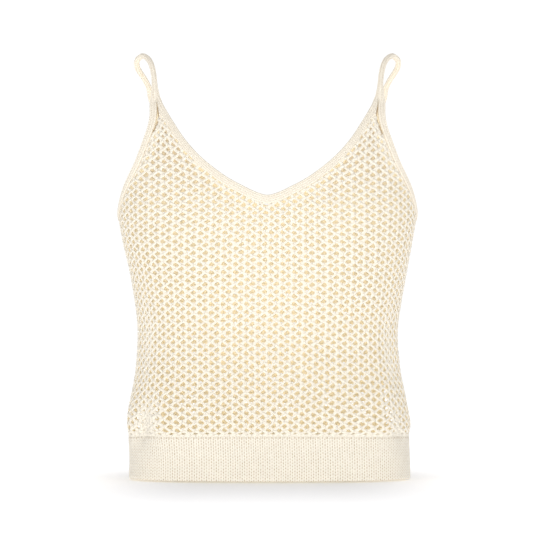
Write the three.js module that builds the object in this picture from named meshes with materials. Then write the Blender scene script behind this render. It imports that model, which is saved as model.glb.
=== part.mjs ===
// A knit tank top in its worn form: a hollow shell, open at the neck, the armholes and the hem.
// Millimetres, +Z up. The front faces -Y, and +X is on the right when it is seen from the front.
// The origin is midway between the two shoulder straps, at the height of their undersides.

import * as THREE from 'three';

// ---------------------------------------------------------------------------
// Driving dimensions
// ---------------------------------------------------------------------------

const MESH_WALL = 2.0; // thickness of the openwork panels
const BAND_WALL = 2.6; // thickness of the hem band
const BINDING_WALL = 3.0; // thickness of the neck and armhole bindings
const SEAM_GAP = 0.3; // space kept between two pieces at a seam

const HEM_Z = -441; // lower edge of the hem band
const BAND_TOP_Z = -397.5; // seam between the band and the panels, at the sides
const BAND_RISE = 2.7; // how much higher that seam lies at the centre front and back

const NECK_BINDING_WIDTH = 9.2; // across the binding at the bottom of the V
const NECK_BINDING_TOP_WIDTH = 6.0; // across the binding at the peaks
const NECK_BINDING_TAPER = 1.5; // how late it narrows on the way up: 1 is evenly
const ARMHOLE_BINDING_WIDTH = 8.4;
const BACK_NECK_DROP = 8; // how much lower the back neckline lies

const FRONT_TIP_Z = -57; // top of the openwork inside a front peak
const BACK_TIP_Z = -64; // and inside a back peak
const STRAP_DIAMETER = 5.4;

const SQUARENESS = 2.3; // exponent of the body's section: 2 is an ellipse, more is squarer

// The body's horizontal sections, at the middle of the wall.
// half: half the width; front and back: depth from the strap line; shift: the section's centre in X.
const SECTIONS = [
  { z: -441, half: 146.4, front: 107, back: 104, shift: 2.3 },
  { z: -420, half: 145.6, front: 107, back: 103, shift: 2.3 },
  { z: -397, half: 145.8, front: 107, back: 102, shift: 1.6 },
  { z: -384, half: 147.9, front: 110, back: 104, shift: 1.6 },
  { z: -369, half: 146.6, front: 110, back: 102, shift: 0.8 },
  { z: -348, half: 142.2, front: 106, back: 96, shift: 0.8 },
  { z: -327, half: 138.4, front: 102, back: 91, shift: 0.5 },
  { z: -290, half: 135.8, front: 98, back: 86, shift: 0.2 },
  { z: -264, half: 138.0, front: 101, back: 87, shift: 0.6 },
  { z: -222, half: 145.2, front: 110, back: 92, shift: 0.8 },
  { z: -190, half: 151.8, front: 115, back: 97, shift: 0 },
  { z: -165, half: 155.8, front: 115.5, back: 98, shift: 0 },
  { z: -145, half: 156.2, front: 112, back: 96, shift: 0 },
  { z: -120, half: 156.2, front: 105, back: 91, shift: 0 },
  { z: -98, half: 156.2, front: 97, back: 85, shift: 0 },
  { z: -74, half: 156.2, front: 85, back: 77, shift: 0 },
  { z: -56, half: 156.2, front: 73, back: 69, shift: 0 },
  { z: -38, half: 156.2, front: 56, back: 56, shift: 0 },
];

// The neckline's free edge, from the left peak to the bottom of the V.
const NECK_EDGE = [
  { x: -114, z: -38 },
  { x: -108, z: -50.5 },
  { x: -97.5, z: -68.1 },
  { x: -84.5, z: -87.4 },
  { x: -67, z: -106.3 },
  { x: -43, z: -124.9 },
  { x: -21, z: -137.0 },
  { x: -9, z: -142.3 },
  { x: 0, z: -144.4 },
];

// The armhole's free edge from the front peak to the underarm.
// turn: degrees round the body from the centre front.
const ARMHOLE_EDGE = [
  { turn: 72.0, z: -38 },
  { turn: 69.9, z: -47 },
  { turn: 66.6, z: -61 },
  { turn: 65.4, z: -74 },
  { turn: 65.7, z: -86.5 },
  { turn: 66.6, z: -99 },
  { turn: 68.4, z: -111.5 },
  { turn: 71.7, z: -124 },
  { turn: 75.8, z: -136.4 },
  { turn: 80.3, z: -149 },
  { turn: 85.0, z: -158.5 },
  { turn: 90.0, z: -162 },
];

// The line in each peak where the two bindings lie side by side, from its lower end at x and z.
const FRONT_SLIT = { x: 114.9, z: -50, lean: 0.12 };
const BACK_SLIT = { x: 112.1, z: -57, lean: 0.2 };

// Points of the strap's centre line over the right shoulder, from the front peak to the back peak.
const STRAP_ROUTE = [
  { x: 117.3, y: -40.4, z: -35.6 },
  { x: 117.8, y: -36.5, z: -27.5 },
  { x: 119.6, y: -30.8, z: -17.5 },
  { x: 121.6, y: -23.5, z: -8.5 },
  { x: 125.6, y: -12.5, z: -0.2 },
  { x: 131.4, y: 0.0, z: 2.7 },
  { x: 136.8, y: 13.0, z: -2.6 },
  { x: 136.4, y: 22.0, z: -10.5 },
  { x: 132.4, y: 29.0, z: -19.0 },
  { x: 125.8, y: 35.8, z: -28.0 },
  { x: 118.6, y: 40.6, z: -35.4 },
];

// How finely the faceted solids follow the curves
const NECK_COLUMNS = 12; // panel columns under half of the neckline
const ARMHOLE_COLUMNS = 9; // panel columns under one half of an armhole
const PEAK_COLUMNS = 4; // columns of a binding above the openwork's tip
const TIP_COLUMN_SHARE = 0.45; // how far round to the side seam the column under a tip reaches
const COLUMN_BEND = 3; // how late a panel column turns towards its place at the top: 1 is evenly
const PANEL_ROWS = 17;
const BAND_ROWS = 2;
const BINDING_ROWS = 2;
const STRAP_STEPS = 24;
const STRAP_SIDES = 8;
const SLOPE_STEP = 1e-3; // step over which slopes on the surface and its edges are taken

const OPENWORK_CREAM = 0xfffcef;
const PLAIN_CREAM = 0xfbf3e2;

// ---------------------------------------------------------------------------
// The body's surface
// ---------------------------------------------------------------------------

// One column of the section table at a height, on a smooth curve through its rows.
function sectionValue(column, z) {
  const last = SECTIONS.length - 1;
  let i = 0;
  while (i < last - 1 && z > SECTIONS[i + 1].z) i += 1;
  const slope = (k) => {
    const a = SECTIONS[Math.max(k - 1, 0)];
    const b = SECTIONS[Math.min(k + 1, last)];
    return (b[column] - a[column]) / (b.z - a.z);
  };
  const lower = SECTIONS[i];
  const upper = SECTIONS[i + 1];
  const span = upper.z - lower.z;
  const t = THREE.MathUtils.clamp((z - lower.z) / span, 0, 1);
  const t2 = t * t;
  const t3 = t2 * t;
  return (2 * t3 - 3 * t2 + 1) * lower[column]
    + (t3 - 2 * t2 + t) * span * slope(i)
    + (3 * t2 - 2 * t3) * upper[column]
    + (t3 - t2) * span * slope(i + 1);
}

// The point of the wall's middle at a turn from the centre front, in radians, and a height.
function skin(turn, z) {
  const across = Math.sin(turn);
  const ahead = Math.cos(turn);
  const half = sectionValue('half', z);
  const depth = sectionValue(ahead > 0 ? 'front' : 'back', z);
  const reach = (Math.abs(across) / half) ** SQUARENESS + (Math.abs(ahead) / depth) ** SQUARENESS;
  const radius = reach ** (-1 / SQUARENESS);
  return new THREE.Vector3(radius * across + sectionValue('shift', z), -radius * ahead, z);
}

// The outward normal of that surface.
function skinNormal(turn, z) {
  const round = skin(turn + SLOPE_STEP, z).sub(skin(turn - SLOPE_STEP, z));
  const up = skin(turn, z + SLOPE_STEP).sub(skin(turn, z - SLOPE_STEP));
  return round.cross(up).normalize();
}

// The turn at which a point lies, seen from the section's centre.
function turnOf(point) {
  return Math.atan2(point.x - sectionValue('shift', point.z), -point.y);
}

// The turn of the point on the front (face 1) or the back (face -1) that has a given X.
function turnAtX(x, z, face) {
  const half = sectionValue('half', z);
  const depth = sectionValue(face > 0 ? 'front' : 'back', z);
  const aside = Math.min((Math.abs(x) / half) ** SQUARENESS, 1);
  return Math.atan2(x, face * depth * (1 - aside) ** (1 / SQUARENESS));
}

// ---------------------------------------------------------------------------
// Edges: curves on the surface, as spots { turn, z }
// ---------------------------------------------------------------------------

// A smooth curve through an edge's rows, and on through their mirror images.
function edgeCurve(rows, column, mirror) {
  const there = rows.map((row) => new THREE.Vector2(row[column], row.z));
  const back = rows.slice(0, -1).reverse()
    .map((row) => new THREE.Vector2(mirror(row[column]), row.z));
  return new THREE.SplineCurve([...there, ...back]);
}

const neckCurve = edgeCurve(NECK_EDGE, 'x', (x) => -x);
const armholeCurve = edgeCurve(ARMHOLE_EDGE, 'turn', (turn) => 180 - turn);

// The neckline's free edge: t runs from -1 at the left peak through 0 at the V to 1 at the right.
function neckEdge(t, face) {
  const at = neckCurve.getPointAt((t + 1) / 2);
  const drop = face > 0 ? 0 : BACK_NECK_DROP * (1 - t * t);
  const z = at.y - drop;
  return { turn: turnAtX(at.x, z, face), z };
}

// The right armhole's free edge: t runs from -1 at the front peak through 0 under the arm to 1.
function armholeEdge(t) {
  const at = armholeCurve.getPointAt((t + 1) / 2);
  return { turn: THREE.MathUtils.degToRad(at.x), z: at.y };
}

// The spot that lies a distance inward from an edge, square to it. Side is 1 where inward is on
// the left of the edge's direction, seen from outside, and -1 where it is on the right.
function inset(edge, t, distance, side) {
  const at = edge(t);
  const before = edge(Math.max(t - SLOPE_STEP, -1));
  const after = edge(Math.min(t + SLOPE_STEP, 1));
  const along = skin(after.turn, after.z).sub(skin(before.turn, before.z)).normalize();
  const inward = skinNormal(at.turn, at.z).cross(along).multiplyScalar(side);
  const point = skin(at.turn, at.z).addScaledVector(inward, distance);
  return { turn: turnOf(point), z: point.z };
}

// Keeps a spot on its own side of the line where the two bindings of a peak meet:
// side -1 is the neck's side of that line, and side 1 the armhole's.
function keepBesideSlit(spot, face, side) {
  const slit = face > 0 ? FRONT_SLIT : BACK_SLIT;
  const x = skin(spot.turn, spot.z).x;
  const line = slit.x + (spot.z - slit.z) * slit.lean + side * SEAM_GAP;
  const beyond = side * (line - Math.abs(x)) > 0;
  if (!beyond || spot.z < slit.z) return spot;
  return { turn: turnAtX(Math.sign(x) * line, spot.z, face), z: spot.z };
}

function neckBindingWidth(t) {
  const narrowed = Math.abs(t) ** NECK_BINDING_TAPER;
  return THREE.MathUtils.lerp(NECK_BINDING_WIDTH, NECK_BINDING_TOP_WIDTH, narrowed);
}

// A spot across the neck binding: share 0 is its seam with the panel, and 1 its free edge.
function acrossNeckBinding(t, face, share, gap = 0) {
  const distance = (neckBindingWidth(t) + gap) * (1 - share);
  const spot = inset((s) => neckEdge(s, face), t, distance, -face);
  return keepBesideSlit(spot, face, -1);
}

// A spot across the right armhole binding, counted in the same way.
function acrossArmholeBinding(t, share, gap = 0) {
  const spot = inset(armholeEdge, t, (ARMHOLE_BINDING_WIDTH + gap) * (1 - share), -1);
  return keepBesideSlit(spot, t > 0 ? -1 : 1, 1);
}

// ---------------------------------------------------------------------------
// Walls: closed solids through a grid of spots on the surface
// ---------------------------------------------------------------------------

// A wall through grid[row][column]: rows go up, columns go round by rising turn, and half of its
// thickness lies on each side of the surface.
function wall(grid, thickness) {
  const rows = grid.length;
  const columns = grid[0].length;
  const positions = [];
  for (const offset of [thickness / 2, -thickness / 2]) {
    for (const spot of grid.flat()) {
      const point = skin(spot.turn, spot.z).addScaledVector(skinNormal(spot.turn, spot.z), offset);
      positions.push(point.x, point.y, point.z);
    }
  }
  const outer = (r, c) => r * columns + c;
  const inner = (r, c) => rows * columns + outer(r, c);
  const index = [];
  const quad = (a, b, c, d) => index.push(a, b, c, a, c, d);
  const right = columns - 1;
  const top = rows - 1;
  for (let r = 0; r < top; r += 1) {
    for (let c = 0; c < right; c += 1) {
      quad(outer(r, c), outer(r, c + 1), outer(r + 1, c + 1), outer(r + 1, c));
      quad(inner(r, c), inner(r + 1, c), inner(r + 1, c + 1), inner(r, c + 1));
    }
    quad(outer(r, 0), outer(r + 1, 0), inner(r + 1, 0), inner(r, 0));
    quad(outer(r + 1, right), outer(r, right), inner(r, right), inner(r + 1, right));
  }
  for (let c = 0; c < right; c += 1) {
    quad(outer(0, c + 1), outer(0, c), inner(0, c), inner(0, c + 1));
    quad(outer(top, c), outer(top, c + 1), inner(top, c + 1), inner(top, c));
  }
  const geometry = new THREE.BufferGeometry();
  geometry.setAttribute('position', new THREE.Float32BufferAttribute(positions, 3));
  geometry.setIndex(index);
  geometry.computeVertexNormals();
  return geometry;
}

// The numbers from 0 to 1 in equal steps.
function fractions(count) {
  return Array.from({ length: count + 1 }, (_, i) => i / count);
}

// A spot mirrored to the other side of the body.
function mirrored(spot) {
  return { turn: -spot.turn, z: spot.z };
}

// ---------------------------------------------------------------------------
// Pieces: face is 1 for the front and -1 for the back, side is 1 for the right and -1 for the left
// ---------------------------------------------------------------------------

// The height of the seam between the band and the panels.
function bandTop(turn) {
  return BAND_TOP_Z + BAND_RISE * Math.abs(Math.cos(turn));
}

// Half of the gap at a side seam, as a turn.
const SIDE_SEAM_TURN = SEAM_GAP / 2 / sectionValue('half', BAND_TOP_Z);

// Spots along that seam, one under each column of a panel, from the left side seam to the right.
function seamSpots(face) {
  const sideTurn = Math.PI / 2 - SIDE_SEAM_TURN;
  const neck = fractions(NECK_COLUMNS).map((u) => u * TIP_COLUMN_SHARE);
  const armhole = fractions(ARMHOLE_COLUMNS + 1).slice(1)
    .map((u) => THREE.MathUtils.lerp(TIP_COLUMN_SHARE, 1, u));
  return allStops([...neck, ...armhole], [...neck, ...armhole]).map((u) => {
    const turn = face > 0 ? u * sideTurn : Math.PI - u * sideTurn;
    return { turn, z: bandTop(turn) };
  });
}

const TIP_SEARCH_STEP = 1e-6; // how closely the openwork's tip is found, as a share of an edge

// How far along a binding's inner edge, from 0 at its lowest point, the openwork's tip lies.
function tipAlong(innerEdge, face) {
  const tipZ = face > 0 ? FRONT_TIP_Z : BACK_TIP_Z;
  let low = 0;
  let high = 1;
  while (high - low > TIP_SEARCH_STEP) {
    const middle = (low + high) / 2;
    if (innerEdge(middle).z < tipZ) low = middle;
    else high = middle;
  }
  return low;
}

// Stops along half of a binding, from its lowest point past the openwork's tip to the peak.
function halfStops(count, tip) {
  const above = fractions(PEAK_COLUMNS).slice(1).map((u) => THREE.MathUtils.lerp(tip, 1, u));
  return [...fractions(count).map((u) => u * tip), ...above];
}

// The same stops from one end of the binding to the other.
function allStops(lower, upper) {
  return [...lower.slice(1).reverse().map((t) => -t), ...upper];
}

function neckStops(face) {
  const seam = (t) => acrossNeckBinding(t, face, 0, SEAM_GAP);
  return halfStops(NECK_COLUMNS, tipAlong(seam, face));
}

function armholeStops(face) {
  const seam = (t) => acrossArmholeBinding(-face * t, 0, SEAM_GAP);
  return halfStops(ARMHOLE_COLUMNS, tipAlong(seam, face));
}

// The right half of a panel's upper edge: along the neck binding, then along the armhole binding.
function panelTop(face) {
  const neck = neckStops(face).slice(0, NECK_COLUMNS + 1);
  const armhole = armholeStops(face).slice(1, ARMHOLE_COLUMNS + 1).reverse();
  const underarm = acrossArmholeBinding(0, 0, SEAM_GAP);
  return [
    ...neck.map((t) => acrossNeckBinding(t, face, 0, SEAM_GAP)),
    ...armhole.map((t) => acrossArmholeBinding(-face * t, 0, SEAM_GAP)),
    { turn: underarm.turn - face * SIDE_SEAM_TURN, z: underarm.z },
  ];
}

// A back panel's left half is given turns past half a circle, to follow on from its right half.
function fromSeam(turn, face) {
  return face < 0 && turn < 0 ? turn + 2 * Math.PI : turn;
}

function panel(face) {
  const right = panelTop(face);
  const top = [...right.slice(1).reverse().map(mirrored), ...right];
  const seam = seamSpots(face);
  const grid = fractions(PANEL_ROWS).map((v) => top.map((spot, i) => ({
    turn: THREE.MathUtils.lerp(seam[i].turn, fromSeam(spot.turn, face), v ** COLUMN_BEND),
    z: THREE.MathUtils.lerp(seam[i].z + SEAM_GAP, spot.z, v),
  })));
  return wall(inTurnOrder(grid, face), MESH_WALL);
}

// A back piece's columns are reversed, so that they go round by rising turn too.
function inTurnOrder(grid, face) {
  return face > 0 ? grid : grid.map((row) => [...row].reverse());
}

function hemBand(face) {
  const seam = seamSpots(face);
  const grid = fractions(BAND_ROWS).map((v) => seam.map(({ turn, z }) => (
    { turn, z: THREE.MathUtils.lerp(HEM_Z, z, v) }
  )));
  return wall(inTurnOrder(grid, face), BAND_WALL);
}

function neckBinding(face) {
  const stops = allStops(neckStops(face), neckStops(face));
  const grid = fractions(BINDING_ROWS).map((share) => (
    stops.map((t) => acrossNeckBinding(t, face, share))
  ));
  return wall(inTurnOrder(grid, face), BINDING_WALL);
}

function armholeBinding(side) {
  const stops = allStops(armholeStops(1), armholeStops(-1));
  const grid = fractions(BINDING_ROWS).map((share) => (
    stops.map((t) => acrossArmholeBinding(t, share))
  ));
  const placed = side > 0 ? grid : grid.map((row) => row.map(mirrored).reverse());
  return wall(placed, BINDING_WALL);
}

function strap(side) {
  const route = STRAP_ROUTE.map(({ x, y, z }) => new THREE.Vector3(side * x, y, z));
  const section = new THREE.Shape(fractions(STRAP_SIDES).slice(1).map((u) => {
    const angle = u * 2 * Math.PI;
    return new THREE.Vector2(Math.cos(angle), Math.sin(angle)).multiplyScalar(STRAP_DIAMETER / 2);
  }));
  return new THREE.ExtrudeGeometry(section, {
    steps: STRAP_STEPS,
    extrudePath: new THREE.CatmullRomCurve3(route),
  });
}

// ---------------------------------------------------------------------------
// The garment
// ---------------------------------------------------------------------------

const COTTON = { roughness: 0.95, metalness: 0 };
const knit = new THREE.MeshStandardMaterial({ color: OPENWORK_CREAM, ...COTTON });
const plain = new THREE.MeshStandardMaterial({ color: PLAIN_CREAM, ...COTTON });

function piece(name, geometry, material) {
  const mesh = new THREE.Mesh(geometry, material);
  mesh.name = name;
  return mesh;
}

const tankTop = new THREE.Group();
tankTop.add(
  piece('front_panel', panel(1), knit),
  piece('back_panel', panel(-1), knit),
  piece('front_hem_band', hemBand(1), plain),
  piece('back_hem_band', hemBand(-1), plain),
  piece('front_neck_binding', neckBinding(1), plain),
  piece('back_neck_binding', neckBinding(-1), plain),
  piece('left_armhole_binding', armholeBinding(-1), plain),
  piece('right_armhole_binding', armholeBinding(1), plain),
  piece('left_strap', strap(-1), plain),
  piece('right_strap', strap(1), plain),
);

export default tankTop;
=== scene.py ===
"""A knit tank top in its worn form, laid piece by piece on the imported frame.

Metres, +Z up, the front faces -Y. The openwork is a net of yarn: a chart of columns and rows says
where its knots lie, and every strand is a copy of one short tube, laid between two knots on the
body's form.
"""

import math
from functools import partial

import bmesh
import bpy
import numpy as np
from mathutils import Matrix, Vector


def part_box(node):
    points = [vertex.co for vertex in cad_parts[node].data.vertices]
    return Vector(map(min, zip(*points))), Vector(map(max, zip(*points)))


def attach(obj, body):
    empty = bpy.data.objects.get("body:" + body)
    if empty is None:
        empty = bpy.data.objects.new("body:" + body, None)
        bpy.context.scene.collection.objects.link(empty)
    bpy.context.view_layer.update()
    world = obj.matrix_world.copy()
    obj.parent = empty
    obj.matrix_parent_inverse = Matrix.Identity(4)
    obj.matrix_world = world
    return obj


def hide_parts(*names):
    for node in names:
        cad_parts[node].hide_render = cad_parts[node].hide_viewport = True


bl_info = {
    "name": "Knit Tank Top",
    "version": (1, 0, 0),
    "blender": (4, 5, 0),
    "location": "View3D > Sidebar > Knitwear",
    "description": "Lays an openwork knit tank top on its frame",
    "category": "Object",
}

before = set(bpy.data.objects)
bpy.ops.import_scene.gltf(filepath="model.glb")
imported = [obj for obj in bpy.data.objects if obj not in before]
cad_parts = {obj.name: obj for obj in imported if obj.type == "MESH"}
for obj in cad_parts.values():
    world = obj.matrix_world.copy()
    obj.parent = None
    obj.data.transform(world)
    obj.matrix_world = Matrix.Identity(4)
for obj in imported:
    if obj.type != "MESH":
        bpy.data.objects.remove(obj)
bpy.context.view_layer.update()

MM = 0.001
FRONT, BACK = 1, -1  # the two faces of the garment
RIGHT, LEFT = 1, -1  # its two sides, seen from the front
FACE_NAME = {FRONT: "front", BACK: "back"}
SIDE_NAME = {LEFT: "left", RIGHT: "right"}

# ---- The body's form ----

SQUARENESS = 2.3  # exponent of a section: 2 is an ellipse, more is squarer

# Horizontal sections at the middle of the wall.
# Columns: height, half the width, depth ahead, depth behind, shift to the right.
SECTIONS = MM * np.array([
    (-441, 146.4, 107, 104, 2.3),
    (-420, 145.6, 107, 103, 2.3),
    (-397, 145.8, 107, 102, 1.6),
    (-384, 147.9, 110, 104, 1.6),
    (-369, 146.6, 110, 102, 0.8),
    (-348, 142.2, 106, 96, 0.8),
    (-327, 138.4, 102, 91, 0.5),
    (-290, 135.8, 98, 86, 0.2),
    (-264, 138.0, 101, 87, 0.6),
    (-222, 145.2, 110, 92, 0.8),
    (-190, 151.8, 115, 97, 0),
    (-165, 155.8, 115.5, 98, 0),
    (-145, 156.2, 112, 96, 0),
    (-120, 156.2, 105, 91, 0),
    (-98, 156.2, 97, 85, 0),
    (-74, 156.2, 85, 77, 0),
    (-56, 156.2, 73, 69, 0),
    (-38, 156.2, 56, 56, 0),
])
HEIGHT, HALF, AHEAD, BEHIND, SHIFT = SECTIONS.T

# The neckline's free edge from the left peak to the bottom of the V. Columns: x, z.
NECK_EDGE = MM * np.array([
    (-114, -38), (-108, -50.5), (-97.5, -68.1), (-84.5, -87.4), (-67, -106.3), (-43, -124.9),
    (-21, -137.0), (-9, -142.3), (0, -144.4),
])

# The armhole's free edge from the front peak to the underarm.
# Columns: degrees round the body from the centre front, z.
ARMHOLE_EDGE = np.array([
    (72.0, -38), (69.9, -47), (66.6, -61), (65.4, -74), (65.7, -86.5), (66.6, -99),
    (68.4, -111.5), (71.7, -124), (75.8, -136.4), (80.3, -149), (85.0, -158.5), (90.0, -162),
])

# The centre line of the right strap from the front peak to the back peak. Its first and last two
# points run down inside the peaks, where the cord is worked into the bindings. Columns: x, y, z.
STRAP_ROUTE = MM * np.array([
    (115.6, -51.2, -53.0),
    (116.6, -46.2, -44.5),
    (117.4, -40.4, -35.6),
    (117.9, -36.0, -27.5),
    (118.9, -30.0, -18.0),
    (121.2, -22.5, -8.0),
    (125.2, -12.5, -0.8),
    (131.4, 0.0, 2.6),
    (137.2, 10.5, -1.8),
    (137.2, 18.0, -8.0),
    (134.4, 24.5, -13.6),
    (129.2, 31.0, -21.5),
    (125.0, 36.0, -30.0),
    (122.6, 40.0, -38.3),
    (119.6, 44.2, -46.0),
    (116.4, 48.6, -54.0),
])

HEM_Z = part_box("front_hem_band")[0].z
BAND_TOP_Z = -397.5 * MM  # seam between the band and the openwork, at the sides
BAND_RISE = 2.7 * MM  # how much higher that seam lies at the centre front and back
BACK_NECK_DROP = 8 * MM
NECK_BINDING_TOP_WIDTH = 6.0 * MM
NECK_BINDING_TAPER = 1.5  # how late it narrows on the way up: 1 is evenly
ARMHOLE_BINDING_WIDTH = 8.4 * MM
SEAM_GAP = 0.3 * MM  # on each side of the line where two bindings meet
# The narrow slit beside each armhole binding, down from a peak.
# Columns: distance from the middle, z.
SLIT = {
    FRONT: MM * np.array([
        (119.6, -81), (118.2, -77), (115.4, -71), (113.4, -65), (113.0, -60), (114.6, -50),
        (116.0, -42), (117.0, -34),
    ]),
    BACK: MM * np.array([
        (117.4, -87), (114.4, -81), (112.2, -74), (111.3, -67), (112.4, -57), (114.2, -48),
        (117.0, -34),
    ]),
}
TIP_Z = {FRONT: -61.5 * MM, BACK: -68.5 * MM}  # where the openwork ends in the peaks
TIP_LAP = 4 * MM  # how far below the tip the neck binding starts to keep beside the slit
SLIT_OPENING = 1.5 * MM
TIP_FLARE = 5.5 * MM  # how much wider the neck binding is above the openwork's tip
TIP_FLARE_HEIGHT = 8 * MM
TURN_STEP, HEIGHT_STEP = 1e-3, 1e-4  # steps over which slopes on the surface are taken
CURVE_STOPS = 60  # of a smooth curve, for each of its points


def hermite(t, start, end, start_slope, end_slope):
    """A cubic from start at t 0 to end at t 1."""
    t2, t3 = t * t, t * t * t
    return (
        (2 * t3 - 3 * t2 + 1) * start
        + (t3 - 2 * t2 + t) * start_slope
        + (3 * t2 - 2 * t3) * end
        + (t3 - t2) * end_slope
    )


def along_sections(column, z):
    """One column of the section table at some heights, on a smooth curve through its rows."""
    last = len(HEIGHT) - 1
    rows = np.arange(last + 1)
    below, above = np.maximum(rows - 1, 0), np.minimum(rows + 1, last)
    slope = (column[above] - column[below]) / (HEIGHT[above] - HEIGHT[below])
    i = np.clip(np.searchsorted(HEIGHT, z, side="right") - 1, 0, last - 1)
    span = HEIGHT[i + 1] - HEIGHT[i]
    t = np.clip((z - HEIGHT[i]) / span, 0, 1)
    return hermite(t, column[i], column[i + 1], span * slope[i], span * slope[i + 1])


def skin(turn, z):
    """Points on the middle of the wall, at turns from the centre front and heights."""
    across, ahead = np.sin(turn), np.cos(turn)
    depth = np.where(ahead > 0, along_sections(AHEAD, z), along_sections(BEHIND, z))
    reach = (np.abs(across) / along_sections(HALF, z)) ** SQUARENESS
    reach = reach + (np.abs(ahead) / depth) ** SQUARENESS
    radius = reach ** (-1 / SQUARENESS)
    x = radius * across + along_sections(SHIFT, z)
    return np.stack([x, -radius * ahead, z + 0 * x], axis=-1)


def unit(vectors):
    """The vectors, made one long."""
    return vectors / np.maximum(np.linalg.norm(vectors, axis=-1, keepdims=True), 1e-12)


def skin_normal(turn, z):
    """The outward normal of that surface."""
    round_body = skin(turn + TURN_STEP, z) - skin(turn - TURN_STEP, z)
    upward = skin(turn, z + HEIGHT_STEP) - skin(turn, z - HEIGHT_STEP)
    return unit(np.cross(round_body, upward))


def turn_of(points):
    """The turn that points lie at."""
    x, y, z = points[..., 0], points[..., 1], points[..., 2]
    return np.arctan2(x - along_sections(SHIFT, z), -y)


def turn_at_x(x, z, face):
    """The turn of the points on one face that have a given X."""
    depth = along_sections(AHEAD if face == FRONT else BEHIND, z)
    x = x - along_sections(SHIFT, z)
    aside = np.minimum((np.abs(x) / along_sections(HALF, z)) ** SQUARENESS, 1)
    return np.arctan2(x, face * depth * (1 - aside) ** (1 / SQUARENESS))


# Soft folds. Columns: turn in degrees, height, half the turn it spreads over, half the height,
# how far it leans round for each metre up, its depth (ridges are positive, troughs negative), and
# the share by which it draws the cloth beside it together.
FOLDS = np.array([
    (-65.6, -0.383, 6.4, 0.0150, 100, -5.6 * MM, 0.55),
    (-77.5, -0.380, 4.2, 0.020, 90, 3.0 * MM, 0),
    (-52, -0.372, 6.0, 0.028, -60, 1.4 * MM, 0),
    (69, -0.383, 3.6, 0.015, -60, -2.6 * MM, 0.3),
    (58, -0.370, 6.5, 0.028, 40, 1.3 * MM, 0),
    (-71, -0.300, 5.0, 0.040, 30, -1.6 * MM, 0.15),
    (72, -0.312, 5.0, 0.036, -40, -1.8 * MM, 0.15),
    (118, -0.379, 4.0, 0.019, 50, -3.4 * MM, 0.4),
    (131, -0.372, 6.0, 0.026, -40, 1.6 * MM, 0),
    (-121, -0.381, 4.2, 0.017, -50, -2.8 * MM, 0.4),
    (-134, -0.366, 6.0, 0.030, 60, 1.5 * MM, 0),
    (152, -0.345, 7.0, 0.045, 40, -1.8 * MM, 0.1),
    (-158, -0.338, 7.5, 0.050, -30, -1.6 * MM, 0.1),
])


def settle(turn, z):
    """How the folds move spots of the cloth: the turn they are drawn to, how far they are pushed
    out, and how much the net closes up there."""
    degrees = np.degrees(np.arctan2(np.sin(turn), np.cos(turn)))
    depth, drawn, closed = (0 * (turn + z) for _ in range(3))
    for centre, height, half_turn, half_height, lean, push, gather in FOLDS:
        aside = degrees - centre - lean * (z - height)
        aside = (aside + 180) % 360 - 180
        near = np.exp(-0.5 * (aside / half_turn) ** 2 - 0.5 * ((z - height) / half_height) ** 2)
        depth = depth + push * near
        drawn = drawn - gather * aside * near
        closed = closed + gather * near
    return turn + np.radians(drawn), depth, closed


def cloth(turn, z, lift):
    """Points that lie off the middle of the cloth by lift, folds included."""
    turn, depth, _ = settle(turn, z)
    normal = skin_normal(turn, z)
    return skin(turn, z) + normal * (depth + lift)[..., None], normal


# ---- The edges of the openings ----


def smooth_curve(points):
    """A function that gives the point at a share of the length of a smooth curve through points."""
    stops = np.linspace(0, len(points) - 1, CURVE_STOPS * len(points))
    i = np.minimum(stops.astype(int), len(points) - 2)
    padded = np.vstack([points[:1], points, points[-1:]])
    before, here, there, after = (padded[i + step] for step in range(4))
    line = hermite((stops - i)[:, None], here, there, (there - before) / 2, (after - here) / 2)
    steps = np.linalg.norm(np.diff(line, axis=0), axis=1)
    share = np.concatenate([[0], np.cumsum(steps)]) / steps.sum()
    return lambda at: np.stack([np.interp(at, share, column) for column in line.T], axis=-1)


def with_mirror(rows, mirror):
    """An edge's rows followed by their mirror images."""
    return np.vstack([rows, [(mirror(a), z) for a, z in rows[-2::-1]]])


NECK_CURVE = smooth_curve(with_mirror(NECK_EDGE, lambda x: -x))
ARMHOLE_CURVE = smooth_curve(with_mirror(ARMHOLE_EDGE, lambda turn: 180 - turn))


def neck_edge(t, face):
    """The neckline's free edge: t runs from -1 at the left peak through the V to 1 at the right."""
    at = NECK_CURVE((t + 1) / 2)
    z = at[..., 1] - (0 if face == FRONT else BACK_NECK_DROP * (1 - t * t))
    return turn_at_x(at[..., 0], z, face), z


def armhole_edge(t):
    """The right armhole's free edge: t runs from -1 at the front peak under the arm to 1."""
    at = ARMHOLE_CURVE((t + 1) / 2)
    return np.radians(at[..., 0]), at[..., 1] * MM


def inset(edge, t, distance, side):
    """Spots a distance inward from an edge, square to it."""
    turn, z = edge(t)
    here = skin(turn, z)
    ahead = skin(*edge(np.minimum(t + TURN_STEP, 1)))
    behind = skin(*edge(np.maximum(t - TURN_STEP, -1)))
    inward = side * np.cross(skin_normal(turn, z), unit(ahead - behind))
    point = here + inward * (distance + 0 * turn)[..., None]
    return turn_of(point), point[..., 2]


def keep_beside_slit(turn, z, face, side, gap):
    """Keeps spots on their own side of the line where the two bindings of a peak meet."""
    slit = SLIT[face]
    x = skin(turn, z)[..., 0]
    line = np.interp(z, slit[:, 1], slit[:, 0]) + side * gap
    foot = slit[0, 1] if side > 0 else TIP_Z[face] - TIP_LAP
    beyond = (side * (line - np.abs(x)) > 0) & (z > foot)
    return np.where(beyond, turn_at_x(np.sign(x) * line, z, face), turn)


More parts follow.
